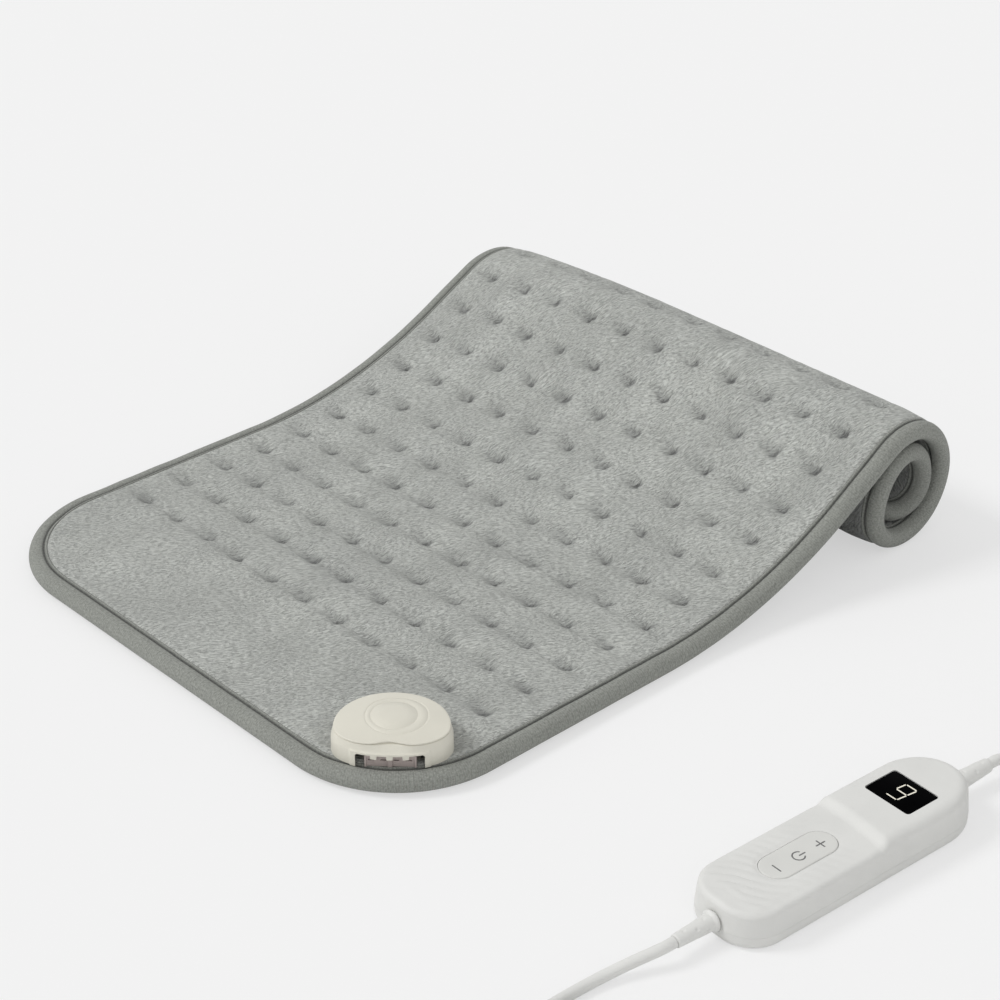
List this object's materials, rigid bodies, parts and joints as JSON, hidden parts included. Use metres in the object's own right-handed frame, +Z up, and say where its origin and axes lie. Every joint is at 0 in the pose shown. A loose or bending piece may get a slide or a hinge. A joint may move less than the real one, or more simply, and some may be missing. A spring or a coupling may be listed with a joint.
{
  "type": "heating pad with controller",
  "caption": "Quilted grey heating pad, partly rolled, with a plug-in socket on one corner and a wired hand controller with a rocking key and a small display.",
  "frame": {"origin": "on the surface that everything lies on, under the middle of the box of the pad and the controller, measured without the leads, the connector and the plug", "axes": "+X along the pad from its flat end to its rolled end, +Y across the pad away from the controller, +Z up"},
  "size_m": [0.4785, 0.5413, 0.0661],
  "materials": {
    "flannel": "plush grey flannel",
    "binding_tape": "flat woven grey tape",
    "felt": "pale needled felt",
    "warm_white": "satin warm white moulding",
    "cool_white": "satin white moulding",
    "key_white": "satin white moulding",
    "smoked_pane": "glossy black pane",
    "board_green": "green board",
    "black_plastic": "black moulding",
    "silicone": "silicone jacket",
    "film_yellow": "yellow box",
    "brass": "stamped contact",
    "nickel": "bright plated",
    "steel": "plain screw steel",
    "cord_white": "satin white jacket"
  },
  "bodies": {
    "pad_and_controller": {"pad_top_cover": "flannel", "pad_felt_carrier": "felt", "pad_bottom_cover": "flannel", "edge_binding": "binding_tape", "thermal_cutout_1": "black_plastic", "thermal_cutout_2": "black_plastic", "heating_wire": "silicone", "supply_lead_1": "cord_white", "supply_lead_2": "cord_white", "supply_lead_3": "cord_white", "return_lead": "cord_white", "socket_top_shell": "warm_white", "socket_base_shell": "warm_white", "socket_contact_block": "warm_white", "socket_pin_1": "brass", "socket_pin_2": "brass", "socket_pin_3": "brass", "socket_pin_4": "brass", "socket_screw_1": "steel", "socket_screw_2": "steel", "socket_screw_3": "steel", "controller_upper_shell": "cool_white", "controller_lower_shell": "cool_white", "display_window": "smoked_pane", "display_module": "black_plastic", "circuit_board": "board_green", "minus_switch": "black_plastic", "power_switch": "black_plastic", "plus_switch": "black_plastic", "controller_screw_1": "steel", "controller_screw_2": "steel", "controller_screw_3": "steel", "controller_screw_4": "steel", "fuse": "nickel", "capacitor": "film_yellow", "triac": "black_plastic", "control_chip": "black_plastic", "near_strain_relief": "cord_white", "far_strain_relief": "cord_white", "connector_lead": "cord_white", "connector_lead_coil": "cord_white", "connector_lead_tie": "black_plastic", "connector_lead_tail": "cord_white", "mains_lead": "cord_white", "mains_lead_coil": "cord_white", "mains_lead_tie": "black_plastic", "mains_lead_tail": "cord_white", "connector_upper_shell": "warm_white", "connector_lower_shell": "warm_white", "connector_blade_1": "brass", "connector_blade_2": "brass", "connector_blade_3": "brass", "connector_blade_4": "brass", "connector_strain_relief": "cord_white", "mains_plug": "cord_white", "plug_blade_1": "nickel", "plug_blade_2": "nickel"},
    "key_yoke": {"key_yoke": "black_plastic"},
    "key_cap": {"key_cap": "key_white"}
  },
  "joints": [
    {"name": "key_press", "type": "slide", "parent": "pad_and_controller", "child": "key_yoke", "axis": [0, 0, -1], "range_m": [0, 0.0004], "stiffness_N_per_m": 1000, "springref_m": -0.0005},
    {"name": "key_rock", "type": "hinge", "parent": "key_yoke", "child": "key_cap", "pos_m": [-0.08506, -0.20467, 0.0122], "axis": [0.0628, 0.998, 0], "range_deg": [-1.5, 1.5], "stiffness_Nm_per_rad": 0.5}
  ]
}
